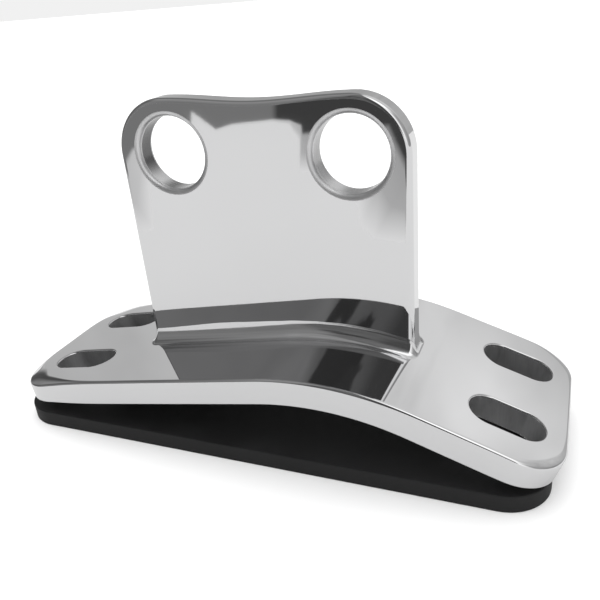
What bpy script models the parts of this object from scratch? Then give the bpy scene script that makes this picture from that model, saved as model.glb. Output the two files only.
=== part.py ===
"""Twin-eye deck bracket: a bent base plate, an upright plate with two eyes, weld beads and a rubber pad.

X runs along the bracket, Y across it and Z up from the deck. The origin is the centre of the
footprint, on the underside of the pad.
"""

import math

import bmesh
import bpy
from mathutils import Matrix, Vector

# Driving dimensions, in metres and degrees.
CLEARANCE = 0.0003

PLATE_LEFT_X = -0.0807
PLATE_RIGHT_X = 0.0820
PLATE_WIDTH = 0.058

PAD_THICKNESS = 0.005
PAD_LEFT_X = -0.0816
PAD_RIGHT_X = 0.0793
PAD_WIDTH = 0.0574
PAD_EDGE_RADIUS = 0.0004

PLATE_THICKNESS = 0.0076
PLATE_CORNER_RADIUS = 0.012
PLATE_EDGE_RADIUS = 0.0012
RIDGE_X = 0.0261
LEFT_SLOPE = 9.6
RIGHT_SLOPE = 19.2
BEND_RADIUS = 0.088
BEND_STEPS = 16

SLOT_WIDTH = 0.011
SLOT_SPACING = 0.0276
LEFT_SLOT_LENGTH = 0.0211
LEFT_SLOT_FROM_END = 0.018
RIGHT_SLOT_LENGTH = 0.0198
RIGHT_SLOT_FROM_END = 0.0158

UPRIGHT_X = -0.0003
UPRIGHT_WIDTH = 0.083
UPRIGHT_THICKNESS = 0.0074
UPRIGHT_TOP = 0.0954
UPRIGHT_EDGE_RADIUS = 0.0013
EAR_RADIUS = 0.0152
TOP_DIP = 0.0013

EYE_X = 0.0002
EYE_SPACING = 0.0512
EYE_HEIGHT = 0.0806
EYE_RADIUS = 0.010

SIDE_WELD_HEIGHT = 0.0042
SIDE_WELD_REACH = 0.0034
END_WELD_HEIGHT = 0.0032
END_WELD_REACH = 0.0022
WELD_TOE = 0.0003

# Worked out from the driving dimensions.
LEFT_ANGLE = math.radians(LEFT_SLOPE)
RIGHT_ANGLE = math.radians(RIGHT_SLOPE)
BEND_LENGTH = BEND_RADIUS * (LEFT_ANGLE + RIGHT_ANGLE)
TANGENT_LENGTH = BEND_RADIUS * math.tan((LEFT_ANGLE + RIGHT_ANGLE) / 2)
# The right-hand end of the plate rests on the pad, which sets the height of the ridge.
RIGHT_END_TOP = PAD_THICKNESS + CLEARANCE + PLATE_THICKNESS * math.cos(RIGHT_ANGLE)
RIDGE_Z = RIGHT_END_TOP + (PLATE_RIGHT_X - RIDGE_X) * math.tan(RIGHT_ANGLE)
LEFT_RUN = (RIDGE_X - PLATE_LEFT_X) / math.cos(LEFT_ANGLE) - TANGENT_LENGTH
RIGHT_RUN = (PLATE_RIGHT_X - RIDGE_X) / math.cos(RIGHT_ANGLE) - TANGENT_LENGTH
BLANK_LEFT = -BEND_LENGTH / 2 - LEFT_RUN
BLANK_RIGHT = BEND_LENGTH / 2 + RIGHT_RUN
BEND_START_X = RIDGE_X - TANGENT_LENGTH * math.cos(LEFT_ANGLE)
BEND_START_Z = RIDGE_Z - TANGENT_LENGTH * math.sin(LEFT_ANGLE)
BEND_END_X = RIDGE_X + TANGENT_LENGTH * math.cos(RIGHT_ANGLE)
BEND_CENTRE_X = BEND_START_X + BEND_RADIUS * math.sin(LEFT_ANGLE)
BEND_CENTRE_Z = BEND_START_Z - BEND_RADIUS * math.cos(LEFT_ANGLE)
# Each pair of slots: its station along the blank and its length.
SLOT_PAIRS = (
    (BLANK_LEFT + LEFT_SLOT_FROM_END, LEFT_SLOT_LENGTH),
    (BLANK_RIGHT - RIGHT_SLOT_FROM_END, RIGHT_SLOT_LENGTH),
)
SLOT_SIDES = (-SLOT_SPACING / 2, SLOT_SPACING / 2)


def clear_scene():
    for old in list(bpy.data.objects):
        bpy.data.objects.remove(old)


def new_collection(name):
    collection = bpy.data.collections.new(name)
    bpy.context.scene.collection.children.link(collection)
    return collection


def new_material(name, colour, roughness, metallic):
    material = bpy.data.materials.new(name)
    material.use_nodes = True
    shader = material.node_tree.nodes["Principled BSDF"]
    shader.inputs["Base Color"].default_value = (*colour, 1.0)
    shader.inputs["Roughness"].default_value = roughness
    shader.inputs["Metallic"].default_value = metallic
    return material


def arc(centre_x, centre_y, radius, start, end, steps):
    """Points on a circle from one angle to another, in degrees, both ends included."""
    points = []
    for step in range(steps + 1):
        angle = math.radians(start + (end - start) * step / steps)
        points.append((centre_x + radius * math.cos(angle), centre_y + radius * math.sin(angle)))
    return points


def rounded_rectangle(left, right, width, radius, steps=8):
    """A closed outline, anticlockwise, centred across Y."""
    half = width / 2
    outline = arc(right - radius, half - radius, radius, 0, 90, steps)
    outline += arc(left + radius, half - radius, radius, 90, 180, steps)
    outline += arc(left + radius, radius - half, radius, 180, 270, steps)
    outline += arc(right - radius, radius - half, radius, 270, 360, steps)
    return outline


def slot_outline(centre_x, centre_y, length, width, steps=10):
    """A stadium, clockwise, so that it is a hole in an anticlockwise outline."""
    radius = width / 2
    reach = length / 2 - radius
    outline = arc(centre_x + reach, centre_y, radius, 90, -90, steps)
    outline += arc(centre_x - reach, centre_y, radius, -90, -270, steps)
    return outline


def flat_curve(name, outlines, thickness, edge_radius):
    """A 2D curve filled between its outlines, with rounded edges, centred on Z = 0."""
    curve = bpy.data.curves.new(name, "CURVE")
    curve.dimensions = "2D"
    curve.fill_mode = "BOTH"
    curve.extrude = thickness / 2 - edge_radius
    curve.bevel_depth = edge_radius
    curve.bevel_resolution = 2
    curve.offset = -edge_radius
    for outline in outlines:
        spline = curve.splines.new("POLY")
        spline.points.add(len(outline) - 1)
        for point, (x, y) in zip(spline.points, outline):
            point.co = (x, y, 0.0, 1.0)
        spline.use_cyclic_u = True
    return bpy.data.objects.new(name, curve)


def curve_to_mesh(curve_object, collection):
    """Replaces a curve with its mesh, welded closed, and returns that mesh as a bmesh."""
    collection.objects.link(curve_object)
    bpy.context.view_layer.update()
    evaluated = curve_object.evaluated_get(bpy.context.evaluated_depsgraph_get())
    mesh = bpy.data.meshes.new_from_object(evaluated)
    shape = bmesh.new()
    shape.from_mesh(mesh)
    bmesh.ops.transform(shape, matrix=curve_object.matrix_world, verts=shape.verts)
    bmesh.ops.remove_doubles(shape, verts=shape.verts, dist=0.000002)
    bpy.data.meshes.remove(mesh)
    bpy.data.objects.remove(curve_object)
    return shape


def add_part(name, shape, material, collection):
    """Writes a bmesh to a new object, shaded smooth except at its corners."""
    bmesh.ops.recalc_face_normals(shape, faces=shape.faces)
    mesh = bpy.data.meshes.new(name)
    shape.to_mesh(mesh)
    shape.free()
    mesh.shade_smooth()
    mesh.set_sharp_from_angle(angle=math.radians(35))
    mesh.materials.append(material)
    part = bpy.data.objects.new(name, mesh)
    collection.objects.link(part)
    return part


def cut_across(shape, stations):
    """Adds an edge loop at each X, so that the shape can follow the bend."""
    for station in stations:
        geometry = list(shape.verts) + list(shape.edges) + list(shape.faces)
        bmesh.ops.bisect_plane(
            shape, geom=geometry, dist=0.000001, plane_co=(station, 0, 0), plane_no=(1, 0, 0)
        )


def bent(station, height):
    """The (x, z) of a point of the flat blank once the blank is bent.

    The station is the distance along the top face from the middle of the bend, and the height is
    above that face.
    """
    travel = min(max(station + BEND_LENGTH / 2, 0.0), BEND_LENGTH)
    angle = LEFT_ANGLE - travel / BEND_RADIUS
    along = Vector((math.cos(angle), math.sin(angle)))
    outward = Vector((-math.sin(angle), math.cos(angle)))
    centre = Vector((BEND_CENTRE_X, BEND_CENTRE_Z))
    straight = station + BEND_LENGTH / 2 - travel
    return centre + outward * (BEND_RADIUS + height) + along * straight


def roof_height(x):
    """The height of the base plate's top face at x."""
    if x < BEND_START_X:
        return RIDGE_Z - (RIDGE_X - x) * math.tan(LEFT_ANGLE)
    if x > BEND_END_X:
        return RIDGE_Z - (x - RIDGE_X) * math.tan(RIGHT_ANGLE)
    return BEND_CENTRE_Z + math.sqrt(BEND_RADIUS**2 - (x - BEND_CENTRE_X) ** 2)


def bend_stations(start, end, steps):
    return [start + (end - start) * step / steps for step in range(steps + 1)]


def make_base_plate(material, collection):
    """A flat blank with four slots, bent over the ridge."""
    outlines = [rounded_rectangle(BLANK_LEFT, BLANK_RIGHT, PLATE_WIDTH, PLATE_CORNER_RADIUS)]
    for station, length in SLOT_PAIRS:
        for side in SLOT_SIDES:
            outlines.append(slot_outline(station, side, length, SLOT_WIDTH))
    blank = flat_curve("base_plate", outlines, PLATE_THICKNESS, PLATE_EDGE_RADIUS)
    shape = curve_to_mesh(blank, collection)
    bmesh.ops.translate(shape, vec=(0, 0, -PLATE_THICKNESS / 2), verts=shape.verts)
    cut_across(shape, bend_stations(-BEND_LENGTH / 2, BEND_LENGTH / 2, BEND_STEPS))
    for vertex in shape.verts:
        x, z = bent(vertex.co.x, vertex.co.z)
        vertex.co = (x, vertex.co.y, z)
    return add_part("base_plate", shape, material, collection)


def upright_outline():
    """Anticlockwise, seen from the front: along the roof, up the right side, over the two ears."""
    left = UPRIGHT_X - UPRIGHT_WIDTH / 2
    right = UPRIGHT_X + UPRIGHT_WIDTH / 2
    outline = []
    for x in [left, *bend_stations(BEND_START_X, right, 12)]:
        outline.append((x, roof_height(x) + CLEARANCE))
    ear_height = UPRIGHT_TOP - EAR_RADIUS
    outline += arc(right - EAR_RADIUS, ear_height, EAR_RADIUS, 0, 90, 10)
    inner_right = right - EAR_RADIUS
    inner_left = left + EAR_RADIUS
    for x in bend_stations(inner_right, inner_left, 14)[1:-1]:
        share = (x - inner_left) / (inner_right - inner_left)
        dip = TOP_DIP * math.sin(math.pi * share) ** 2
        outline.append((x, UPRIGHT_TOP - dip))
    outline += arc(left + EAR_RADIUS, ear_height, EAR_RADIUS, 90, 180, 10)
    return outline


def eye_outline(side):
    """Clockwise, so that it is a hole. The side is -1 for the left eye and 1 for the right."""
    centre = EYE_X + side * EYE_SPACING / 2
    return arc(centre, EYE_HEIGHT, EYE_RADIUS, 360, 0, 40)[:-1]


def make_upright(material, collection):
    """A flat plate, stood on edge across the middle of the base plate."""
    outlines = [upright_outline(), eye_outline(-1), eye_outline(1)]
    plate = flat_curve("upright_plate", outlines, UPRIGHT_THICKNESS, UPRIGHT_EDGE_RADIUS)
    plate.matrix_world = Matrix.Rotation(math.radians(90), 4, "X")
    shape = curve_to_mesh(plate, collection)
    return add_part("upright_plate", shape, material, collection)


def make_weld_section(name, reach, height, guides):
    """The section of a polished fillet weld: out from the upright along X, up it along Y."""
    curve = bpy.data.curves.new(name, "CURVE")
    curve.dimensions = "2D"
    near = CLEARANCE
    outline = [(near, near), (reach, near), (reach, near + WELD_TOE)]
    steps = 7
    for step in range(1, steps):
        angle = math.radians(90 * step / steps)
        x = reach - (reach - near - WELD_TOE) * math.sin(angle)
        y = height - (height - near - WELD_TOE) * math.cos(angle)
        outline.append((x, y))
    outline += [(near + WELD_TOE, height), (near, height)]
    spline = curve.splines.new("POLY")
    spline.points.add(len(outline) - 1)
    for point, (x, y) in zip(spline.points, outline):
        point.co = (x, y, 0.0, 1.0)
    spline.use_cyclic_u = True
    section = bpy.data.objects.new(name, curve)
    section.hide_render = True
    section.display_type = "WIRE"
    guides.objects.link(section)
    return section


def make_weld(name, path, section, material, collection):
    """A bead that follows a path round the foot of the upright, on the sloping roof."""
    curve = bpy.data.curves.new(name, "CURVE")
    curve.dimensions = "3D"
    curve.twist_mode = "Z_UP"
    curve.bevel_mode = "OBJECT"
    curve.bevel_object = section
    curve.use_fill_caps = True
    spline = curve.splines.new("POLY")
    spline.points.add(len(path) - 1)
    for point, (x, y) in zip(spline.points, path):
        point.co = (x, y, 0.0, 1.0)
    shape = curve_to_mesh(bpy.data.objects.new(name, curve), collection)
    cut_across(shape, bend_stations(BEND_START_X, BEND_END_X, BEND_STEPS))
    for vertex in shape.verts:
        vertex.co.z += roof_height(vertex.co.x)
    return add_part(name, shape, material, collection)


def make_welds(material, parts, guides):
    """Front and rear beads along the faces, and one round each end of the upright."""
    along = make_weld_section("side_weld_section", SIDE_WELD_REACH, SIDE_WELD_HEIGHT, guides)
    across = make_weld_section("end_weld_section", END_WELD_REACH, END_WELD_HEIGHT, guides)
    half = UPRIGHT_THICKNESS / 2
    corner = UPRIGHT_EDGE_RADIUS
    left = UPRIGHT_X - UPRIGHT_WIDTH / 2 + corner
    right = UPRIGHT_X + UPRIGHT_WIDTH / 2 - corner
    side = half - corner
    front = [(left + CLEARANCE, -half), (right - CLEARANCE, -half)]
    rear = [(right - CLEARANCE, half), (left + CLEARANCE, half)]
    left_end = arc(left, side, corner, 90, 180, 5) + arc(left, -side, corner, 180, 270, 5)
    right_end = arc(right, -side, corner, 270, 360, 5) + arc(right, side, corner, 0, 90, 5)
    make_weld("weld_front", front, along, material, parts)
    make_weld("weld_rear", rear, along, material, parts)
    make_weld("weld_left_end", left_end, across, material, parts)
    make_weld("weld_right_end", right_end, across, material, parts)


def make_pad(material, collection):
    """A flat rubber pad with a slot under each slot of the plate."""
    outlines = [rounded_rectangle(PAD_LEFT_X, PAD_RIGHT_X, PAD_WIDTH, PLATE_CORNER_RADIUS)]
    for station, length in SLOT_PAIRS:
        for side in SLOT_SIDES:
            below = bent(station, -PLATE_THICKNESS)
            outlines.append(slot_outline(below.x, side, length, SLOT_WIDTH))
    pad = flat_curve("rubber_pad", outlines, PAD_THICKNESS, PAD_EDGE_RADIUS)
    shape = curve_to_mesh(pad, collection)
    bmesh.ops.translate(shape, vec=(0, 0, PAD_THICKNESS / 2), verts=shape.verts)
    return add_part("rubber_pad", shape, material, collection)


def main():
    clear_scene()
    parts = new_collection("twin_eye_deck_bracket")
    guides = new_collection("guides")
    steel = new_material("polished_steel", (0.72, 0.72, 0.73), 0.08, 1.0)
    weld = new_material("polished_weld", (0.66, 0.66, 0.67), 0.16, 1.0)
    rubber = new_material("black_rubber", (0.018, 0.018, 0.019), 0.6, 0.0)
    make_base_plate(steel, parts)
    make_upright(steel, parts)
    make_welds(weld, parts, guides)
    make_pad(rubber, parts)


main()
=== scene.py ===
"""Looks for the twin-eye deck bracket: mirror-polished steel, ground welds and a rubber pad on a pale floor.

X runs along the bracket, Y across it and Z up from the deck, in metres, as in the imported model.
"""

import math
from collections import namedtuple

import bmesh
import bpy
from mathutils import Matrix, Vector, noise

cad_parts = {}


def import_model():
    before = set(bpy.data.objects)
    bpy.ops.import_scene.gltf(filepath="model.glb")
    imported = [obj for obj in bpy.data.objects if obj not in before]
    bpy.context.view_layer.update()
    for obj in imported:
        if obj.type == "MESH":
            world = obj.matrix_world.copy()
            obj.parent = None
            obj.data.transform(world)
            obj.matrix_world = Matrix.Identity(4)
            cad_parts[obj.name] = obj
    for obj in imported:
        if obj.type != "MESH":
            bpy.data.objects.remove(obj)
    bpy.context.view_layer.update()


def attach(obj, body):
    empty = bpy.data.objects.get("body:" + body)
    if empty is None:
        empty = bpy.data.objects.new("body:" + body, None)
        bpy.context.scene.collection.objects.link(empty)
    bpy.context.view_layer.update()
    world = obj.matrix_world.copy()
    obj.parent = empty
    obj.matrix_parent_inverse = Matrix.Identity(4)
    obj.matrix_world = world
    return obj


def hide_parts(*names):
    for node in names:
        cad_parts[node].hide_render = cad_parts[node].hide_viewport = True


# The bracket's dimensions, in metres and radians, as in the CAD source. The base plate is 0.1 mm
# slimmer on each side, and a hair shorter, so that its finer edges stay inside the CAD's box.
PLATE_LEFT_X = -0.0807
PLATE_RIGHT_X = 0.08197
PLATE_WIDTH = 0.0578
PLATE_THICKNESS = 0.0076
PLATE_CORNER_RADIUS = 0.012
RIDGE_X = 0.0261
LEFT_ANGLE = math.radians(9.6)
RIGHT_ANGLE = math.radians(19.2)
BEND_RADIUS = 0.088
REST_GAP = 0.0003

SLOT_WIDTH = 0.011
SLOT_SPACING = 0.0276
LEFT_SLOT_LENGTH = 0.0211
LEFT_SLOT_FROM_END = 0.018
RIGHT_SLOT_LENGTH = 0.0198
RIGHT_SLOT_FROM_END = 0.0158

PAD_THICKNESS = 0.005
PAD_LEFT_X = -0.0816
PAD_WIDTH = 0.0574
PAD_EDGE_RADIUS = 0.0004

UPRIGHT_X = -0.0003
UPRIGHT_WIDTH = 0.083
UPRIGHT_THICKNESS = 0.0074
UPRIGHT_TOP = 0.0954
EAR_RADIUS = 0.0152
TOP_DIP = 0.0013

EYE_X = 0.0002
EYE_SPACING = 0.0512
EYE_HEIGHT = 0.0806
EYE_RADIUS = 0.010

SIDE_WELD_HEIGHT = 0.0042
SIDE_WELD_REACH = 0.0034
END_WELD_HEIGHT = 0.0032
LEFT_WELD_REACH = 0.0022

# Sizes that differ a little from the CAD's, or that only the looks have.
PLATE_EDGE_RADIUS = 0.0008
PLATE_UNDER_RADIUS = 0.0003
RIGHT_END_TRIM = 0.00014
SLOT_EDGE_RADIUS = 0.0005
PAD_RIGHT_X = 0.0788
UPRIGHT_EDGE_RADIUS = 0.0012
FOOT_CORNER_RADIUS = 0.0005
EYE_EDGE_RADIUS = 0.0015
RIGHT_WELD_REACH = 0.0013

# The rolls that the polishing wheel left past the edges: their widths in metres and tilts in degrees.
# The other values are shares of the width: along straight edges, and added at the corners of the
# base plate and down the right side of the upright. A corner's share fades out over its run.
PLATE_ROLL_WIDTH = 0.0011
PLATE_ROLL_TILT = 16.0
PLATE_ROLL_POWER = 0.5
PLATE_ROLL = 0.25
LEFT_CORNER_ROLL = 5.0
LEFT_CORNER_STRETCH = 1.8
RIGHT_CORNER_ROLL = 1.6
RIGHT_CORNER_STRETCH = 1.0
CORNER_RUN = 0.0088
CORNER_FADE_POWER = 2.4
UPRIGHT_ROLL_WIDTH = 0.0042
UPRIGHT_ROLL_TILT = 14.0
UPRIGHT_ROLL = 0.12
SIDE_ROLL = 0.4
SIDE_ROLL_OVERLAP = 0.004

# The bead of a weld: the lean of the facet ground on its upper part, the angle of its curve at the
# toe, how deep it is sunk, and the facet's length. The long welds are thicker near THICK_WELD_X.
WELD_LEAN = math.radians(10.5)
WELD_TOE_ANGLE = math.radians(86)
WELD_SUNK = 0.00012
WELD_FACET = 0.0001
FACET_SHARES = (0.0, 0.35, 0.7)
THICK_WELD_X = -0.017
THICK_WELD_RUN = 0.022
THICK_WELD_GAIN = 0.0008
THICK_WELD_FACET = 0.0012

# Unevenness of a ground weld, slow and quick: the noise's scale and the level it is cut at, and how far
# it changes the height and the reach, as shares.
WANDER = (55, 3.7, 0.05, -0.06)
RIPPLE = (210, 9.1, 0.02, 0.03)

# A vertex this close to a cut counts as on it, in metres.
CUT_TOLERANCE = 0.0000005

# Steps of the outlines and profiles.
EDGE_STEPS = 10
BEND_STEPS = 48
FOOT_STEPS = 36
FOOT_CORNER_STEPS = 6
EAR_STEPS = 36
TOP_STEPS = 48
EYE_STEPS = 128
WELD_STEPS = 160
WELD_CORNER_STEPS = 10
WELD_CURVE_STEPS = 16

# An edge of a plate: the radius at its top and underneath, the width and tilt of the roll past the
# rounding, how the tilt dies out (1 is evenly), and the material indices of its wall and of the
# rounding and roll above and below the wall.
Edge = namedtuple("Edge", "top under roll tilt power wall rim", defaults=(0.0, 0.0, 1.3, 0, 0))

# Worked out from those dimensions.
BEND_LENGTH = BEND_RADIUS * (LEFT_ANGLE + RIGHT_ANGLE)
TANGENT_LENGTH = BEND_RADIUS * math.tan((LEFT_ANGLE + RIGHT_ANGLE) / 2)
RIGHT_END_TOP = PAD_THICKNESS + REST_GAP + PLATE_THICKNESS * math.cos(RIGHT_ANGLE)
RIDGE_Z = RIGHT_END_TOP + (PLATE_RIGHT_X - RIDGE_X) * math.tan(RIGHT_ANGLE)
LEFT_RUN = (RIDGE_X - PLATE_LEFT_X) / math.cos(LEFT_ANGLE) - TANGENT_LENGTH
RIGHT_RUN = (PLATE_RIGHT_X - RIDGE_X) / math.cos(RIGHT_ANGLE) - TANGENT_LENGTH
BLANK_LEFT = -BEND_LENGTH / 2 - LEFT_RUN
BLANK_RIGHT = BEND_LENGTH / 2 + RIGHT_RUN
BEND_START_X = RIDGE_X - TANGENT_LENGTH * math.cos(LEFT_ANGLE)
BEND_START_Z = RIDGE_Z - TANGENT_LENGTH * math.sin(LEFT_ANGLE)
BEND_END_X = RIDGE_X + TANGENT_LENGTH * math.cos(RIGHT_ANGLE)
BEND_CENTRE_X = BEND_START_X + BEND_RADIUS * math.sin(LEFT_ANGLE)
BEND_CENTRE_Z = BEND_START_Z - BEND_RADIUS * math.cos(LEFT_ANGLE)
SLOT_PAIRS = (
    (BLANK_LEFT + LEFT_SLOT_FROM_END, LEFT_SLOT_LENGTH),
    (BLANK_RIGHT - RIGHT_SLOT_FROM_END, RIGHT_SLOT_LENGTH),
)
SLOT_SIDES = (-SLOT_SPACING / 2, SLOT_SPACING / 2)

# The camera: its place in metres, its angles in degrees and its lens in millimetres.
CAMERA_PLACE = (0.07753, -0.15961, 0.11984)
CAMERA_AZIMUTH = 23.71
CAMERA_PITCH = 25.18
CAMERA_ROLL = -5.23
CAMERA_LENS = 40.35


# ---------------------------------------------------------------- shapes


def bent(station, height):
    """The (x, z, angle) of a point of the flat blank once the blank is bent."""
    travel = min(max(station + BEND_LENGTH / 2, 0.0), BEND_LENGTH)
    angle = LEFT_ANGLE - travel / BEND_RADIUS
    straight = station + BEND_LENGTH / 2 - travel
    x = BEND_CENTRE_X - math.sin(angle) * (BEND_RADIUS + height) + math.cos(angle) * straight
    z = BEND_CENTRE_Z + math.cos(angle) * (BEND_RADIUS + height) + math.sin(angle) * straight
    return x, z, angle


def roof_height(x):
    """The height of the base plate's top face at x."""
    if x < BEND_START_X:
        return RIDGE_Z - (RIDGE_X - x) * math.tan(LEFT_ANGLE)
    if x > BEND_END_X:
        return RIDGE_Z - (x - RIDGE_X) * math.tan(RIGHT_ANGLE)
    return BEND_CENTRE_Z + math.sqrt(BEND_RADIUS**2 - (x - BEND_CENTRE_X) ** 2)


def roof_angle(x):
    """The slope of the base plate's top face at x, in radians, positive where it climbs."""
    if x < BEND_START_X:
        return LEFT_ANGLE
    if x > BEND_END_X:
        return -RIGHT_ANGLE
    return -math.asin((x - BEND_CENTRE_X) / BEND_RADIUS)


def spread(start, end, steps):
    return [start + (end - start) * step / steps for step in range(steps + 1)]


def arc(centre_x, centre_y, radius, start, end, steps, facing=1.0):
    """Outline points (x, y, normal x, normal y) round a circle, between two angles in degrees.

    The normals point out of the material: facing is 1 for an outer corner and -1 for a hole.
    """
    points = []
    for degrees in spread(start, end, steps):
        angle = math.radians(degrees)
        across, up = math.cos(angle), math.sin(angle)
        points.append((centre_x + radius * across, centre_y + radius * up, facing * across, facing * up))
    return points


def rounded_rectangle(left, right, width, radius, steps=20, spacing=0.0015):
    """The outline, anticlockwise, with points along its straight sides too, about that far apart."""
    half = width / 2
    corners = (
        arc(right - radius, half - radius, radius, 0, 90, steps),
        arc(left + radius, half - radius, radius, 90, 180, steps),
        arc(left + radius, radius - half, radius, 180, 270, steps),
        arc(right - radius, radius - half, radius, 270, 360, steps),
    )
    outline = []
    for corner, following in zip(corners, corners[1:] + corners[:1]):
        outline += corner
        start, end = Vector(corner[-1]), Vector(following[0])
        count = max(2, round((end - start).length / spacing))
        outline += [tuple(start.lerp(end, share)) for share in spread(0.0, 1.0, count)[1:-1]]
    return outline


def slot_outline(centre_x, centre_y, length, width, steps=24):
    radius = width / 2
    reach = length / 2 - radius
    outline = arc(centre_x + reach, centre_y, radius, -90, 90, steps, -1.0)
    outline += arc(centre_x - reach, centre_y, radius, 90, 270, steps, -1.0)
    return outline


def edge_profile(edge, roll):
    """(inset, fall, outward share, upward share) from a wall to the face above it.

    Past the rounding the face still falls away over the roll's width, by a tilt that dies out to
    nothing. The fall is measured down from the flat of the face.
    """
    tilt = math.radians(edge.tilt)
    profile = []
    for angle in spread(0.0, math.pi / 2 - tilt, EDGE_STEPS):
        profile.append((edge.top * (1 - math.cos(angle)), edge.top * math.sin(angle), angle))
    inset, height, _ = profile[-1]
    if roll > 0:
        power = edge.power + 1
        for share in spread(0.0, 1.0, EDGE_STEPS)[1:]:
            rise = roll * math.tan(tilt) * (1 - (1 - share) ** power) / power
            angle = math.pi / 2 - tilt * (1 - share) ** edge.power
            profile.append((inset + roll * share, height + rise, angle))
    flat = profile[-1][1]
    return [(inset, flat - height, math.cos(angle), math.sin(angle)) for inset, height, angle in profile]


def rounded_plate(outlines, thickness):
    """A flat plate in the XY plane with rounded edges.

    Each outline comes with its edge and the roll's share at each of its points. Returns a bmesh
    that carries each vertex's true normal in a layer, so that a flat polished face reflects as one
    right up to its edges.
    """
    shape = bmesh.new()
    layer = shape.verts.layers.float_vector.new("true_normal")
    rims = {0: [], -1: []}
    for outline, edge, roll_shares in outlines:
        columns = []
        for (x, y, normal_x, normal_y), share in zip(outline, roll_shares):
            column = []
            under = edge_profile(edge._replace(top=edge.under), edge.roll * share)
            top = edge_profile(edge, edge.roll * share)
            for side, points in ((-1, under[::-1]), (1, top)):
                for inset, fall, outward, upward in points:
                    height = side * (thickness / 2 - fall)
                    vertex = shape.verts.new((x - normal_x * inset, y - normal_y * inset, height))
                    vertex[layer] = Vector((normal_x * outward, normal_y * outward, side * upward))
                    column.append(vertex)
            columns.append(column)
        middle = len(columns[0]) // 2 - 1
        for column, following in zip(columns, columns[1:] + columns[:1]):
            for step in range(len(column) - 1):
                face = shape.faces.new((column[step], following[step], following[step + 1], column[step + 1]))
                face.material_index = edge.wall if step == middle else edge.rim
            for end in rims:
                rims[end].append(shape.edges.get((column[end], following[end])))
    for end, upward in ((0, -1.0), (-1, 1.0)):
        bmesh.ops.triangle_fill(
            shape, use_beauty=True, use_dissolve=False, edges=rims[end], normal=(0, 0, upward)
        )
    bmesh.ops.recalc_face_normals(shape, faces=shape.faces)
    return shape, layer


def cut_across(shape, stations):
    """Adds an edge loop at each station along X, so that the shape can follow a bend."""
    for station in stations:
        geometry = list(shape.verts) + list(shape.edges) + list(shape.faces)
        place, normal = (station, 0, 0), (1, 0, 0)
        bmesh.ops.bisect_plane(shape, geom=geometry, dist=CUT_TOLERANCE, plane_co=place, plane_no=normal)


def finish_piece(name, shape, layer, materials, slot, *nodes):
    """Writes the bmesh to an object shaded with its own normals, in place of those CAD nodes."""
    mesh = bpy.data.meshes.new(name)
    normals = [vertex[layer].normalized() for vertex in shape.verts]
    shape.to_mesh(mesh)
    shape.free()
    mesh.attributes.remove(mesh.attributes["true_normal"])
    mesh.shade_smooth()
    mesh.normals_split_custom_set_from_vertices(normals)
    for material in materials:
        mesh.materials.append(material)
    piece = bpy.data.objects.new(name, mesh)
    bpy.context.scene.collection.objects.link(piece)
    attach(piece, "root")
    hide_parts(*nodes)


def even(outline):
    return [1.0] * len(outline)


def corner_rolls(outline):
    """The roll's share at each point of the plate's rim: the wheel rounded the corners over more."""
    half = PLATE_WIDTH / 2
    reach = PLATE_CORNER_RADIUS * (1 - math.sqrt(0.5))
    corners = (
        (BLANK_LEFT + reach, LEFT_CORNER_ROLL, LEFT_CORNER_STRETCH),
        (BLANK_RIGHT - reach, RIGHT_CORNER_ROLL, RIGHT_CORNER_STRETCH),
    )
    shares = []
    for x, y, _, _ in outline:
        share = PLATE_ROLL
        for corner_x, extra, stretch in corners:
            distance = math.hypot((x - corner_x) / stretch, abs(y) - half + reach)
            share += extra * math.exp(-((distance / CORNER_RUN) ** CORNER_FADE_POWER))
        shares.append(share)
    return shares


def make_base_plate(*materials):
    rim = rounded_rectangle(BLANK_LEFT, BLANK_RIGHT - RIGHT_END_TRIM, PLATE_WIDTH, PLATE_CORNER_RADIUS)
    edge = Edge(PLATE_EDGE_RADIUS, PLATE_UNDER_RADIUS, PLATE_ROLL_WIDTH, PLATE_ROLL_TILT, PLATE_ROLL_POWER)
    outlines = [(rim, edge, corner_rolls(rim))]
    slot_edge = Edge(SLOT_EDGE_RADIUS, SLOT_EDGE_RADIUS, wall=1)
    for station, length in SLOT_PAIRS:
        for side in SLOT_SIDES:
            slot = slot_outline(station, side, length, SLOT_WIDTH)
            outlines.append((slot, slot_edge, even(slot)))
    shape, layer = rounded_plate(outlines, PLATE_THICKNESS)
    cut_across(shape, spread(-BEND_LENGTH / 2, BEND_LENGTH / 2, BEND_STEPS))
    for vertex in shape.verts:
        x, z, angle = bent(vertex.co.x, vertex.co.z - PLATE_THICKNESS / 2)
        vertex.co = (x, vertex.co.y, z)
        vertex[layer] = Matrix.Rotation(-angle, 3, "Y") @ vertex[layer]
    finish_piece("polished_base_plate", shape, layer, materials, "polished_steel", "base_plate")


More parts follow.
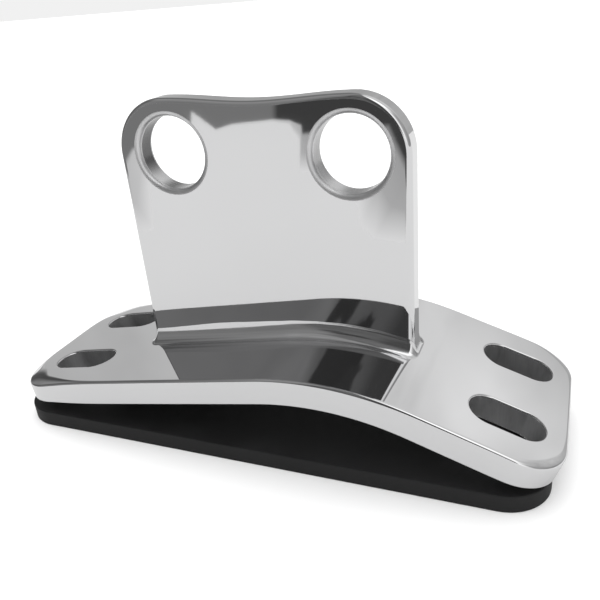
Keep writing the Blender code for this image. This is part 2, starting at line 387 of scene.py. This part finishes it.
def upright_outline():
    """Anticlockwise, seen from the front: along the roof, up the right side, over the two ears."""
    left = UPRIGHT_X - UPRIGHT_WIDTH / 2
    right = UPRIGHT_X + UPRIGHT_WIDTH / 2
    stations = [left, *spread(BEND_START_X, right, FOOT_STEPS)]
    foot = [(x, roof_height(x) + REST_GAP, roof_angle(x)) for x in stations]
    outline = [(x, z, math.sin(angle), -math.cos(angle)) for x, z, angle in foot[1:-1]]
    corner = FOOT_CORNER_RADIUS
    outline += arc(right - corner, foot[-1][1] + corner, corner, -80, 0, FOOT_CORNER_STEPS)
    ear_height = UPRIGHT_TOP - EAR_RADIUS
    outline += arc(right - EAR_RADIUS, ear_height, EAR_RADIUS, 0, 90, EAR_STEPS)
    inner_right = right - EAR_RADIUS
    inner_left = left + EAR_RADIUS
    run = inner_right - inner_left
    for x in spread(inner_right, inner_left, TOP_STEPS)[1:-1]:
        share = (x - inner_left) / run
        dip = TOP_DIP * math.sin(math.pi * share) ** 2
        slope = -TOP_DIP * math.pi / run * math.sin(2 * math.pi * share)
        normal = Vector((-slope, 1.0)).normalized()
        outline.append((x, UPRIGHT_TOP - dip, normal.x, normal.y))
    outline += arc(left + EAR_RADIUS, ear_height, EAR_RADIUS, 90, 180, EAR_STEPS)
    outline += arc(left + corner, foot[0][1] + corner, corner, 180, 280, FOOT_CORNER_STEPS)
    return outline


def eye_outline(side):
    centre = EYE_X + side * EYE_SPACING / 2
    return arc(centre, EYE_HEIGHT, EYE_RADIUS, 0, 360, EYE_STEPS, -1.0)[:-1]


def side_rolls(outline):
    """The roll's share round the upright: it widens down the right side, and is slight elsewhere."""
    ear_bottom = UPRIGHT_TOP - EAR_RADIUS
    foot = roof_height(UPRIGHT_X + UPRIGHT_WIDTH / 2)
    shares = []
    for x, z, normal_x, _ in outline:
        share = UPRIGHT_ROLL
        faces_right = normal_x > 0.5
        if x > UPRIGHT_X and faces_right:
            down = (ear_bottom + SIDE_ROLL_OVERLAP - z) / (ear_bottom - foot)
            share += SIDE_ROLL * min(max(down, 0.0), 1.0)
        shares.append(share)
    return shares


def make_upright(*materials):
    rim = upright_outline()
    edge = Edge(UPRIGHT_EDGE_RADIUS, UPRIGHT_EDGE_RADIUS, UPRIGHT_ROLL_WIDTH, UPRIGHT_ROLL_TILT)
    outlines = [(rim, edge, side_rolls(rim))]
    eye_edge = Edge(EYE_EDGE_RADIUS, EYE_EDGE_RADIUS, wall=2, rim=1)
    for side in (-1, 1):
        eye = eye_outline(side)
        outlines.append((eye, eye_edge, even(eye)))
    shape, layer = rounded_plate(outlines, UPRIGHT_THICKNESS)
    stand = Matrix.Rotation(math.radians(90), 3, "X")
    for vertex in shape.verts:
        vertex.co = stand @ vertex.co
        vertex[layer] = stand @ vertex[layer]
    finish_piece("polished_upright", shape, layer, materials, "polished_steel", "upright_plate")


def make_pad(*materials):
    rim = rounded_rectangle(PAD_LEFT_X, PAD_RIGHT_X, PAD_WIDTH, PLATE_CORNER_RADIUS)
    edge = Edge(PAD_EDGE_RADIUS, PAD_EDGE_RADIUS)
    outlines = [(rim, edge, even(rim))]
    # The walls and rounding of the pad's slots take the second rubber: painted light where they lie in shade
    # under the plate's slots.
    slot_edge = edge._replace(wall=1, rim=1)
    for station, length in SLOT_PAIRS:
        x = bent(station, -PLATE_THICKNESS)[0]
        for side in SLOT_SIDES:
            slot = slot_outline(x, side, length, SLOT_WIDTH)
            outlines.append((slot, slot_edge, even(slot)))
    shape, layer = rounded_plate(outlines, PAD_THICKNESS)
    for vertex in shape.verts:
        vertex.co.z += PAD_THICKNESS / 2
    finish_piece("bedding_pad", shape, layer, materials, "black_rubber", "rubber_pad")


def weld_path():
    """Stations round the foot of the upright: (x, y, outward x, outward y, share of end weld)."""
    half = UPRIGHT_THICKNESS / 2
    corner = UPRIGHT_EDGE_RADIUS
    left = UPRIGHT_X - UPRIGHT_WIDTH / 2 + corner
    right = UPRIGHT_X + UPRIGHT_WIDTH / 2 - corner
    inner = half - corner
    front = [(x, -half, 0.0, -1.0, 0.0) for x in spread(left, right, WELD_STEPS)]
    rear = [(x, half, 0.0, 1.0, 0.0) for x in spread(right, left, WELD_STEPS)]
    right_arcs = arc(right, -inner, corner, -90, 0, WELD_CORNER_STEPS)
    right_arcs += arc(right, inner, corner, 0, 90, WELD_CORNER_STEPS)
    left_arcs = arc(left, inner, corner, 90, 180, WELD_CORNER_STEPS)
    left_arcs += arc(left, -inner, corner, 180, 270, WELD_CORNER_STEPS)
    right_end = [(*point, abs(point[2])) for point in right_arcs]
    left_end = [(*point, abs(point[2])) for point in left_arcs]
    return {"weld_front": front, "weld_right_end": right_end, "weld_rear": rear, "weld_left_end": left_end}


def unevenness(x, y, scale, level, height_share, reach_share):
    """How far the bead's height and reach stray at a place, as shares of them."""
    value = noise.noise(Vector((x * scale, y * scale, level)))
    return height_share * value, reach_share * value


def weld_size(x, y, end_share):
    """(height, reach, facet) of the bead at a place, a little uneven as a hand-ground weld is."""
    slow_height, slow_reach = unevenness(x, y, *WANDER)
    quick_height, quick_reach = unevenness(x, y, *RIPPLE)
    thick = math.exp(-(((x - THICK_WELD_X) / THICK_WELD_RUN) ** 2)) * (1 - end_share)
    end_reach = LEFT_WELD_REACH if x < UPRIGHT_X else RIGHT_WELD_REACH
    height = SIDE_WELD_HEIGHT + (END_WELD_HEIGHT - SIDE_WELD_HEIGHT) * end_share
    reach = SIDE_WELD_REACH + (end_reach - SIDE_WELD_REACH) * end_share
    height = height * (1 + slow_height + quick_height) + THICK_WELD_GAIN * thick
    return height, reach * (1 + slow_reach + quick_reach), WELD_FACET + THICK_WELD_FACET * thick


def weld_section(height, reach, facet):
    """The bead's section, from its head down to its toe and back inside: (out, up, normal out, up)."""
    lean_out, lean_up = math.cos(WELD_LEAN), math.sin(WELD_LEAN)
    facet_out, facet_up = facet * lean_up, facet * lean_out
    first = math.atan(math.tan(WELD_LEAN) * height / reach)
    curve_height = (height - facet_up) / (1 - math.sin(first))
    curve_reach = (reach - facet_out) / math.cos(first)
    section = [(facet_out * share, height - facet_up * share, lean_out, lean_up) for share in FACET_SHARES]
    for angle in spread(first, WELD_TOE_ANGLE, WELD_CURVE_STEPS):
        across, down = math.cos(angle), math.sin(angle)
        out = facet_out + curve_reach * (math.cos(first) - across)
        section.append((out, curve_height * (1 - down), across / curve_reach, down / curve_height))
    toe_out = section[-1][0]
    section.append((toe_out, -WELD_SUNK, 0.0, -1.0))
    section.append((-WELD_SUNK, -WELD_SUNK, -1.0, -1.0))
    section.append((-WELD_SUNK, height, -1.0, 0.0))
    return section


def make_weld(node, path, material):
    """A concave fillet between the foot of the upright and the roof, along part of the way round."""
    shape = bmesh.new()
    layer = shape.verts.layers.float_vector.new("true_normal")
    rings = []
    for x, y, out_x, out_y, end_share in path:
        ring = []
        for out, up, normal_out, normal_up in weld_section(*weld_size(x, y, end_share)):
            place_x, place_y = x + out_x * out, y + out_y * out
            vertex = shape.verts.new((place_x, place_y, roof_height(place_x) + up))
            slope = math.tan(roof_angle(place_x))
            normal = Vector((out_x * normal_out - slope * normal_up, out_y * normal_out, normal_up))
            vertex[layer] = normal.normalized()
            ring.append(vertex)
        rings.append(ring)
    count = len(rings[0])
    for ring, following in zip(rings, rings[1:]):
        for index in range(count):
            after = (index + 1) % count
            shape.faces.new((ring[index], ring[after], following[after], following[index]))
    shape.faces.new(rings[0])
    shape.faces.new(reversed(rings[-1]))
    bmesh.ops.recalc_face_normals(shape, faces=shape.faces)
    finish_piece("ground_" + node, shape, layer, [material], "polished_weld", node)


# ---------------------------------------------------------------- materials


class Graph:
    """A short way to add and link shader nodes."""

    def __init__(self, tree):
        self.tree = tree

    def add(self, kind, label, **settings):
        node = self.tree.nodes.new(kind)
        node.label = label
        for name, value in settings.items():
            if name in node.inputs:
                node.inputs[name].default_value = value
            else:
                setattr(node, name, value)
        return node

    def link(self, source, target):
        self.tree.links.new(source, target)


def new_material(name):
    material = bpy.data.materials.new(name)
    material.use_nodes = True
    graph = Graph(material.node_tree)
    shader = material.node_tree.nodes["Principled BSDF"]
    return material, graph, shader


def noise_layer(graph, label, place, scale, detail=3.0, roughness=0.5, stretch=(1, 1, 1)):
    mapping = graph.add("ShaderNodeMapping", label + " place")
    mapping.inputs["Scale"].default_value = stretch
    graph.link(place, mapping.inputs["Vector"])
    pattern = graph.add("ShaderNodeTexNoise", label)
    pattern.inputs["Scale"].default_value = scale
    pattern.inputs["Detail"].default_value = detail
    pattern.inputs["Roughness"].default_value = roughness
    graph.link(mapping.outputs["Vector"], pattern.inputs["Vector"])
    return pattern.outputs["Fac"]


def remap(graph, label, value, low, high, new_low=0.0, new_high=1.0):
    node = graph.add("ShaderNodeMapRange", label)
    node.inputs["From Min"].default_value = low
    node.inputs["From Max"].default_value = high
    node.inputs["To Min"].default_value = new_low
    node.inputs["To Max"].default_value = new_high
    graph.link(value, node.inputs["Value"])
    return node.outputs["Result"]


def bump(graph, label, height, strength, distance, below=None):
    node = graph.add("ShaderNodeBump", label)
    node.inputs["Strength"].default_value = strength
    node.inputs["Distance"].default_value = distance
    graph.link(height, node.inputs["Height"])
    if below is not None:
        graph.link(below, node.inputs["Normal"])
    return node.outputs["Normal"]


def polished_steel(name, colour, dark, roughness, unevenness):
    """Stainless steel polished on a wheel: a mirror with faint waves, smears and fine scratches."""
    material, graph, shader = new_material(name)
    place = graph.add("ShaderNodeTexCoord", "object place").outputs["Object"]
    smear = noise_layer(
        graph, "smears", place, scale=38.0, detail=4.0, roughness=0.6, stretch=(1.0, 1.0, 0.6)
    )
    cloud = noise_layer(graph, "tint", place, scale=14.0, detail=2.0)
    scratch = noise_layer(
        graph, "polishing marks", place, scale=900.0, detail=2.0, roughness=0.6, stretch=(0.06, 1.0, 1.0)
    )
    wave = noise_layer(graph, "waves", place, scale=26.0, detail=1.0, roughness=0.4)

    blend = graph.add("ShaderNodeMix", "tint of the metal", data_type="RGBA")
    blend.inputs["A"].default_value = (*dark, 1.0)
    blend.inputs["B"].default_value = (*colour, 1.0)
    graph.link(remap(graph, "tint range", cloud, 0.3, 0.7), blend.inputs["Factor"])
    graph.link(blend.outputs["Result"], shader.inputs["Base Color"])
    shader.inputs["Metallic"].default_value = 1.0
    graph.link(
        remap(graph, "roughness range", smear, 0.3, 0.75, roughness * 0.7, roughness * 1.6),
        shader.inputs["Roughness"],
    )
    waves = bump(graph, "uneven polish", wave, strength=1.0, distance=unevenness)
    marks = bump(graph, "fine marks", scratch, strength=0.25, distance=0.0000015, below=waves)
    graph.link(marks, shader.inputs["Normal"])
    return material


def eye_shadow(graph, place):
    """How bright an eye's wall is, as painted shade: darker in its upper part, most of all in the left eye.
    """
    parts = graph.add("ShaderNodeSeparateXYZ", "place parts")
    graph.link(place, parts.inputs["Vector"])
    # Painted shade: how bright the top of the wall stays, least in the left eye.
    painted_top_shade = remap(graph, "left eye to right eye", parts.outputs["X"], -0.015, 0.015, 0.26, 0.7)
    higher = remap(graph, "height in the eye", parts.outputs["Z"], 0.0725, 0.0775)
    blend = graph.add("ShaderNodeMix", "painted shade higher up", data_type="FLOAT")
    graph.link(higher, blend.inputs["Factor"])
    blend.inputs["A"].default_value = 1.0
    graph.link(painted_top_shade, blend.inputs["B"])
    return blend.outputs["Result"]


def cut_steel(name, colour, roughness, lines, shade=None):
    """The sawn or drilled wall of an opening: dull steel with fine lines round it."""
    material, graph, shader = new_material(name)
    place = graph.add("ShaderNodeTexCoord", "object place").outputs["Object"]
    cloud = noise_layer(graph, "tint", place, scale=120.0)
    grooves = noise_layer(
        graph, "cutting lines", place, scale=1400.0, detail=2.0, roughness=0.6, stretch=lines
    )
    blend = graph.add("ShaderNodeMix", "tint of the metal", data_type="RGBA")
    blend.inputs["A"].default_value = (*(0.85 * share for share in colour), 1.0)
    blend.inputs["B"].default_value = (*colour, 1.0)
    graph.link(remap(graph, "tint range", cloud, 0.35, 0.65), blend.inputs["Factor"])
    tint = blend.outputs["Result"]
    # A shade, if given, darkens the tint towards black from place to place: painted shade.
    if shade is not None:
        shaded = graph.add("ShaderNodeMix", "shaded tint", data_type="RGBA")
        graph.link(shade(graph, place), shaded.inputs["Factor"])
        shaded.inputs["A"].default_value = (0.0, 0.0, 0.0, 1.0)
        graph.link(tint, shaded.inputs["B"])
        tint = shaded.outputs["Result"]
    graph.link(tint, shader.inputs["Base Color"])
    shader.inputs["Metallic"].default_value = 1.0
    graph.link(
        remap(graph, "roughness range", grooves, 0.3, 0.7, roughness * 0.8, roughness * 1.2),
        shader.inputs["Roughness"],
    )
    lined = bump(graph, "grooves", grooves, strength=0.4, distance=0.00001)
    graph.link(lined, shader.inputs["Normal"])
    return material


def black_rubber(name, shade):
    """Moulded sheet rubber: nearly black, with a fine grain and a dusty bloom. The shade scales its colour; a
    shade above 1 is painted light.
    """
    material, graph, shader = new_material(name)
    place = graph.add("ShaderNodeTexCoord", "object place").outputs["Object"]
    grain = noise_layer(graph, "grain", place, scale=1600.0, roughness=0.7)
    bloom = noise_layer(graph, "bloom", place, scale=60.0, detail=4.0, roughness=0.6)
    blend = graph.add("ShaderNodeMix", "dust and painted light on the rubber", data_type="RGBA")
    blend.inputs["A"].default_value = (0.0055 * shade, 0.0055 * shade, 0.0057 * shade, 1.0)
    blend.inputs["B"].default_value = (0.0115 * shade, 0.0115 * shade, 0.012 * shade, 1.0)
    graph.link(remap(graph, "dust range", bloom, 0.35, 0.7), blend.inputs["Factor"])
    graph.link(blend.outputs["Result"], shader.inputs["Base Color"])
    shader.inputs["Specular IOR Level"].default_value = 0.3
    graph.link(remap(graph, "roughness range", bloom, 0.3, 0.7, 0.55, 0.75), shader.inputs["Roughness"])
    grained = bump(graph, "grain bump", grain, strength=0.5, distance=0.00008)
    graph.link(grained, shader.inputs["Normal"])
    return material


def floor_material(name, shade):
    """White paper. The shade scales its tint."""
    material, graph, shader = new_material(name)
    place = graph.add("ShaderNodeTexCoord", "object place").outputs["Object"]
    cloud = noise_layer(graph, "paper", place, scale=8.0, detail=2.0)
    blend = graph.add("ShaderNodeMix", "paper tint", data_type="RGBA")
    blend.inputs["A"].default_value = (0.86 * shade, 0.86 * shade, 0.86 * shade, 1.0)
    blend.inputs["B"].default_value = (0.88 * shade, 0.88 * shade, 0.88 * shade, 1.0)
    graph.link(cloud, blend.inputs["Factor"])
    graph.link(blend.outputs["Result"], shader.inputs["Base Color"])
    shader.inputs["Roughness"].default_value = 0.9
    shader.inputs["Specular IOR Level"].default_value = 0.0
    return material


# ---------------------------------------------------------------- studio

# The corners of the white sheet's edge, from the left round to the front: (x, y, softness, whiteness
# just inside the edge). The softness is how far in the white is full. Lengths are in metres. Beyond
# the edge the floor looks dark in the polish.
SHEET_EDGE = (
    (-0.48, 0.35, 0.12, 0.5),
    (-0.40, 0.00, 0.10, 0.5),
    (-0.33, -0.18, 0.14, 0.5),
    (-0.245, -0.26, 0.15, 0.6),
    (-0.29, -0.345, 0.13, 0.7),
    (-0.29, -0.45, 0.015, 0.9),
    (-0.33, -0.52, 0.012, 0.9),
    (-0.245, -0.42, 0.012, 0.9),
    (-0.24, -0.445, 0.012, 0.8),
    (-0.205, -0.465, 0.015, 0.8),
    (-0.185, -0.46, 0.025, 0.7),
    (-0.165, -0.44, 0.075, 0.6),
    (-0.15, -0.405, 0.135, 0.5),
    (-0.115, -0.44, 0.18, 0.45),
    (-0.08, -0.44, 0.24, 0.45),
    (-0.055, -0.37, 0.20, 0.45),
    (-0.025, -0.285, 0.13, 0.45),
    (0.02, -0.25, 0.10, 0.45),
)
# The whiteness jumps to its value just inside at EDGE_SHARE of the softness. It then climbs slowly, by
# HOLD_RISE of what is left, as far as HOLD_SHARE, and from there to full white.
EDGE_SHARE = 0.14
HOLD_SHARE = 0.6
HOLD_RISE = 0.15
SHEET_WHITE = 1.05
# The floor beyond the sheet is grey at the left and dark in front. The two meet at DARK_LEFT_AZIMUTH
# and blend over DARK_LEFT_SOFTNESS to either side, both in radians.
FAR_LEFT_GREY = 0.25
FRONT_DARK = 0.065
DARK_LEFT_AZIMUTH = math.radians(-23.6)
DARK_LEFT_SOFTNESS = 0.006
# How far the flag reaches past the sheet's edge, the floor past the middle, and how high above the
# floor the stage objects that only gloss sees lie, in metres.
FLAG_REACH = 5
FLOOR_REACH = 6.0
GLOSS_FLOOR_LIFT = 0.0002
FLAG_LIFT = 0.0004
GLOSS_FLOOR_SHADE = 0.74


def link_stage(name, mesh):
    thing = bpy.data.objects.new(name, mesh)
    bpy.context.scene.collection.objects.link(thing)
    return thing


def only_in_gloss(thing):
    thing.visible_camera = False
    thing.visible_diffuse = False
    thing.visible_shadow = False


def make_floors():
    """One floor for the eye, and the same floor a little darker for gloss, as in an even exposure."""
    reach = FLOOR_REACH
    floors = []
    kinds = (("studio_floor", 0.0, 1.0), ("studio_floor_in_gloss", GLOSS_FLOOR_LIFT, GLOSS_FLOOR_SHADE))
    for name, z, shade in kinds:
        corners = [(-reach, -reach, z), (reach, -reach, z), (reach, reach, z), (-reach, reach, z)]
        mesh = bpy.data.meshes.new(name)
        mesh.from_pydata(corners, [], [(0, 1, 2, 3)])
        mesh.materials.append(floor_material(name + "_looks", shade))
        floors.append(link_stage(name, mesh))
    floors[0].visible_glossy = False
    only_in_gloss(floors[1])


def compass_angle(graph, across, along):
    """The compass angle of a direction, in radians: 0 to the front (-Y) and positive to the right (+X)."""
    turned = graph.add("ShaderNodeMath", "towards the front", operation="MULTIPLY")
    graph.link(along, turned.inputs[0])
    turned.inputs[1].default_value = -1.0
    compass = graph.add("ShaderNodeMath", "compass", operation="ARCTAN2")
    graph.link(across, compass.inputs[0])
    graph.link(turned.outputs[0], compass.inputs[1])
    return compass.outputs[0]


def make_flag():
    """A dark flag just above the floor, past the edge of the white sheet. Only gloss sees it."""
    rings = [[], [], [], [], []]
    whiteness = [[], [], [], [], []]
    for x, y, softness, just_inside in SHEET_EDGE:
        dark = Vector((x, y))
        outward = dark.normalized()
        beyond = dark + outward * FLAG_REACH
        white = dark - outward * softness
        places = (beyond, dark, dark.lerp(white, EDGE_SHARE), dark.lerp(white, HOLD_SHARE), white)
        held = just_inside * (1 - HOLD_RISE) + HOLD_RISE
        for ring, values, place, value in zip(rings, whiteness, places, (0.0, 0.0, just_inside, held, 1.0)):
            ring.append((place.x, place.y, FLAG_LIFT))
            values.append(value)
    count = len(SHEET_EDGE)
    faces = []
    for start in range(0, 4 * count, count):
        for index in range(start, start + count - 1):
            faces.append((index, index + 1, index + count + 1, index + count))
    mesh = bpy.data.meshes.new("studio_flag")
    mesh.from_pydata(sum(rings, []), [], faces)
    shade = mesh.attributes.new("whiteness", "FLOAT", "POINT")
    shade.data.foreach_set("value", sum(whiteness, []))

    material = bpy.data.materials.new("studio_flag")
    material.use_nodes = True
    tree = material.node_tree
    tree.nodes.clear()
    graph = Graph(tree)
    place = graph.add("ShaderNodeNewGeometry", "place").outputs["Position"]
    parts = graph.add("ShaderNodeSeparateXYZ", "place parts")
    graph.link(place, parts.inputs["Vector"])
    compass = compass_angle(graph, parts.outputs["X"], parts.outputs["Y"])
    near, far = DARK_LEFT_AZIMUTH - DARK_LEFT_SOFTNESS, DARK_LEFT_AZIMUTH + DARK_LEFT_SOFTNESS
    grey = remap(graph, "grey to dark", compass, near, far, FAR_LEFT_GREY, FRONT_DARK)
    inside = graph.add("ShaderNodeAttribute", "whiteness", attribute_name="whiteness")
    blend = graph.add("ShaderNodeMix", "sheet to flag", data_type="FLOAT")
    graph.link(inside.outputs["Fac"], blend.inputs["Factor"])
    graph.link(grey, blend.inputs["A"])
    blend.inputs["B"].default_value = SHEET_WHITE
    glow = graph.add("ShaderNodeEmission", "flag")
    graph.link(blend.outputs["Result"], glow.inputs["Strength"])
    output = graph.add("ShaderNodeOutputMaterial", "output")
    graph.link(glow.outputs[0], output.inputs["Surface"])
    mesh.materials.append(material)
    only_in_gloss(link_stage("studio_flag", mesh))


def ring_ramp(graph, label, compass, stops):
    """Brightness round the horizon: stops are (degrees from the front, brightness)."""
    turn = remap(graph, label + " turn", compass, -math.pi, math.pi)
    ramp = graph.add("ShaderNodeValToRGB", label)
    ramp.color_ramp.interpolation = "LINEAR"
    points = ramp.color_ramp.elements
    for index, (degrees, brightness) in enumerate(stops):
        place = (degrees + 180) / 360
        point = points[index] if index < 2 else points.new(place)
        point.position = place
        point.color = (brightness, brightness, brightness, 1.0)
    graph.link(turn, ramp.inputs["Fac"])
    return ramp.outputs["Color"]


# Brightness of the studio's walls in gloss: (degrees from the front, brightness), low, higher up and
# near the ceiling. Each pair blends between two heights, given as the upward share of a direction.
HIGH_WALLS_FROM, HIGH_WALLS_FULL = 0.3, 0.48
CEILING_FROM, CEILING_FULL = 0.65, 0.8
LOW_WALLS = (
    (-180, 0.53),
    (-168, 0.42),
    (-157, 0.40),
    (-150, 0.52),
    (-140, 0.64),
    (-126, 0.58),
    (-122, 0.10),
    (-118, 0.10),
    (-114, 0.30),
    (-107, 0.30),
    (-102, 0.15),
    (-66, 0.15),
    (-58, 0.27),
    (-25, 0.25),
    (-23, 0.16),
    (-8, 0.16),
    (-3, 0.08),
    (18, 0.08),
    (21, 1.5),
    (38, 1.2),
    (60, 0.5),
    (95, 0.36),
    (128, 0.42),
    (142, 0.56),
    (180, 0.53),
)
HIGH_WALLS = (
    (-180, 0.84),
    (-172, 0.5),
    (-160, 0.2),
    (-124, 0.18),
    (-122, 0.10),
    (-118, 0.10),
    (-114, 0.30),
    (-107, 0.30),
    (-102, 0.15),
    (-66, 0.15),
    (-58, 0.28),
    (-25, 0.28),
    (-23, 0.17),
    (-8, 0.17),
    (-3, 0.08),
    (18, 0.08),
    (21, 1.6),
    (38, 1.2),
    (60, 0.45),
    (120, 0.45),
    (145, 0.80),
    (156, 0.92),
    (159, 1.0),
    (168, 0.86),
    (180, 0.84),
)
CEILING = (
    (-180, 0.9),
    (-168, 0.3),
    (-100, 0.2),
    (-80, 0.42),
    (-38, 0.36),
    (-31, 0.17),
    (14, 0.2),
    (22, 1.7),
    (60, 1.7),
    (80, 0.8),
    (140, 0.85),
    (179, 0.9),
)
# Dark things in front of the object: degrees from the front, height in degrees, radius, brightness.
# Radius, softness and raggedness are lengths on a sphere of radius 1.
DARK_THINGS = (
    (-16.5, 33.5, 0.085, 0.3),
    (-21.0, 25.5, 0.055, 0.3),
    (-11.5, 37.0, 0.045, 0.35),
)
DARK_THING_SOFTNESS = 0.006
RAGGEDNESS = 0.16


def pointing(degrees, height):
    """The direction with that compass angle from the front and that height, in degrees."""
    compass, up = math.radians(degrees), math.radians(height)
    return Vector((math.sin(compass) * math.cos(up), -math.cos(compass) * math.cos(up), math.sin(up)))


def dark_things(graph, direction):
    """A factor that darkens ragged patches of the front, as people and lamps reflect in the polish."""
    ragged = graph.add("ShaderNodeTexNoise", "ragged outline")
    ragged.inputs["Scale"].default_value = 9.0
    ragged.inputs["Detail"].default_value = 3.0
    graph.link(direction, ragged.inputs["Vector"])
    shift = graph.add("ShaderNodeVectorMath", "shift", operation="MULTIPLY_ADD")
    graph.link(ragged.outputs["Color"], shift.inputs[0])
    shift.inputs[1].default_value = (RAGGEDNESS, RAGGEDNESS, RAGGEDNESS)
    shift.inputs[2].default_value = (-RAGGEDNESS / 2, -RAGGEDNESS / 2, -RAGGEDNESS / 2)
    moved = graph.add("ShaderNodeVectorMath", "moved direction", operation="ADD")
    graph.link(direction, moved.inputs[0])
    graph.link(shift.outputs["Vector"], moved.inputs[1])
    factor = None
    for degrees, height, radius, brightness in DARK_THINGS:
        away = graph.add("ShaderNodeVectorMath", "distance", operation="DISTANCE")
        graph.link(moved.outputs["Vector"], away.inputs[0])
        away.inputs[1].default_value = pointing(degrees, height)
        inner, outer = radius - DARK_THING_SOFTNESS, radius + DARK_THING_SOFTNESS
        shade = remap(graph, "dark thing", away.outputs["Value"], inner, outer, brightness)
        if factor is None:
            factor = shade
        else:
            both = graph.add("ShaderNodeMath", "both", operation="MINIMUM")
            graph.link(factor, both.inputs[0])
            graph.link(shade, both.inputs[1])
            factor = both.outputs[0]
    return factor


def make_world():
    """Soft white light for the eye and the floor, and the studio's dark and pale walls for gloss."""
    world = bpy.data.worlds.new("studio")
    bpy.context.scene.world = world
    world.use_nodes = True
    tree = world.node_tree
    tree.nodes.clear()
    graph = Graph(tree)
    direction = graph.add("ShaderNodeTexCoord", "direction").outputs["Generated"]
    parts = graph.add("ShaderNodeSeparateXYZ", "direction parts")
    graph.link(direction, parts.inputs["Vector"])
    across, along, up = parts.outputs
    compass = compass_angle(graph, across, along)
    low = ring_ramp(graph, "low walls", compass, LOW_WALLS)
    high = ring_ramp(graph, "high walls", compass, HIGH_WALLS)
    overhead = ring_ramp(graph, "ceiling", compass, CEILING)
    walls = graph.add("ShaderNodeMix", "walls", data_type="RGBA")
    wall_height = remap(graph, "height on the walls", up, HIGH_WALLS_FROM, HIGH_WALLS_FULL)
    graph.link(wall_height, walls.inputs["Factor"])
    graph.link(low, walls.inputs["A"])
    graph.link(high, walls.inputs["B"])
    room = graph.add("ShaderNodeMix", "walls and ceiling", data_type="RGBA")
    ceiling_height = remap(graph, "height of the ceiling", up, CEILING_FROM, CEILING_FULL)
    graph.link(ceiling_height, room.inputs["Factor"])
    graph.link(walls.outputs["Result"], room.inputs["A"])
    graph.link(overhead, room.inputs["B"])
    clouds = noise_layer(graph, "uneven walls", direction, scale=5.0, roughness=0.55)
    uneven = remap(graph, "uneven range", clouds, 0.35, 0.65, 0.9, 1.12)
    strength = graph.add("ShaderNodeMath", "strength", operation="MULTIPLY")
    graph.link(uneven, strength.inputs[0])
    graph.link(dark_things(graph, direction), strength.inputs[1])

    rays = graph.add("ShaderNodeLightPath", "which rays")
    gloss = graph.add("ShaderNodeBackground", "studio seen in gloss")
    graph.link(room.outputs["Result"], gloss.inputs["Color"])
    graph.link(strength.outputs[0], gloss.inputs["Strength"])
    soft = graph.add("ShaderNodeBackground", "soft light from above")
    graph.link(remap(graph, "stronger overhead", up, 0.0, 1.0, 0.6, 2.7), soft.inputs["Strength"])
    backdrop = graph.add("ShaderNodeBackground", "white backdrop")
    backdrop.inputs["Strength"].default_value = 1.1
    seen = graph.add("ShaderNodeMixShader", "light or backdrop")
    graph.link(rays.outputs["Is Camera Ray"], seen.inputs[0])
    graph.link(soft.outputs[0], seen.inputs[1])
    graph.link(backdrop.outputs[0], seen.inputs[2])
    pick = graph.add("ShaderNodeMixShader", "gloss or the rest")
    graph.link(rays.outputs["Is Glossy Ray"], pick.inputs[0])
    graph.link(seen.outputs[0], pick.inputs[1])
    graph.link(gloss.outputs[0], pick.inputs[2])
    output = graph.add("ShaderNodeOutputWorld", "world")
    graph.link(pick.outputs[0], output.inputs["Surface"])


def make_camera():
    azimuth, pitch = math.radians(CAMERA_AZIMUTH), math.radians(CAMERA_PITCH)
    forward = Vector(
        (-math.sin(azimuth) * math.cos(pitch), math.cos(azimuth) * math.cos(pitch), -math.sin(pitch))
    )
    aim = forward.to_track_quat("-Z", "Y").to_matrix() @ Matrix.Rotation(math.radians(CAMERA_ROLL), 3, "Z")
    camera = bpy.data.objects.new("camera", bpy.data.cameras.new("camera"))
    camera.matrix_world = Matrix.Translation(CAMERA_PLACE) @ aim.to_4x4()
    camera.data.lens = CAMERA_LENS
    camera.data.sensor_width = 36.0
    camera.data.clip_start = 0.01
    bpy.context.scene.collection.objects.link(camera)
    bpy.context.scene.camera = camera


def main():
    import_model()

    steel = polished_steel("polished_steel_looks", (0.66, 0.66, 0.665), (0.63, 0.63, 0.635), 0.028, 0.00002)
    weld = polished_steel("polished_weld_looks", (0.64, 0.64, 0.645), (0.58, 0.58, 0.585), 0.10, 0.00006)
    # The slot walls are tinted much darker than the polished faces.
    slot_wall = cut_steel("cut_slot_wall", (0.42, 0.42, 0.425), 0.55, (1.0, 1.0, 0.05))
    eye_rim = cut_steel("turned_eye_rim", (0.62, 0.62, 0.625), 0.42, (0.05, 1.0, 0.05))
    # The eye walls carry painted shade: their tint darkens higher up, most in the left eye.
    eye_wall = cut_steel("drilled_eye_wall_painted_shade", (0.60, 0.60, 0.605), 0.26, (0.05, 1.0, 0.05), eye_shadow)
    make_base_plate(steel, slot_wall)
    make_upright(steel, eye_rim, eye_wall)
    # The second rubber is twelve times as bright: painted light on the shaded walls of the pad's slots.
    make_pad(black_rubber("black_rubber_looks", 1.0), black_rubber("rubber_painted_light_looks", 12.0))
    for node, path in weld_path().items():
        make_weld(node, path, weld)

    make_floors()
    make_flag()
    make_world()
    make_camera()
    bpy.context.scene.view_settings.view_transform = "Standard"
    bpy.context.scene.view_settings.look = "None"


main()
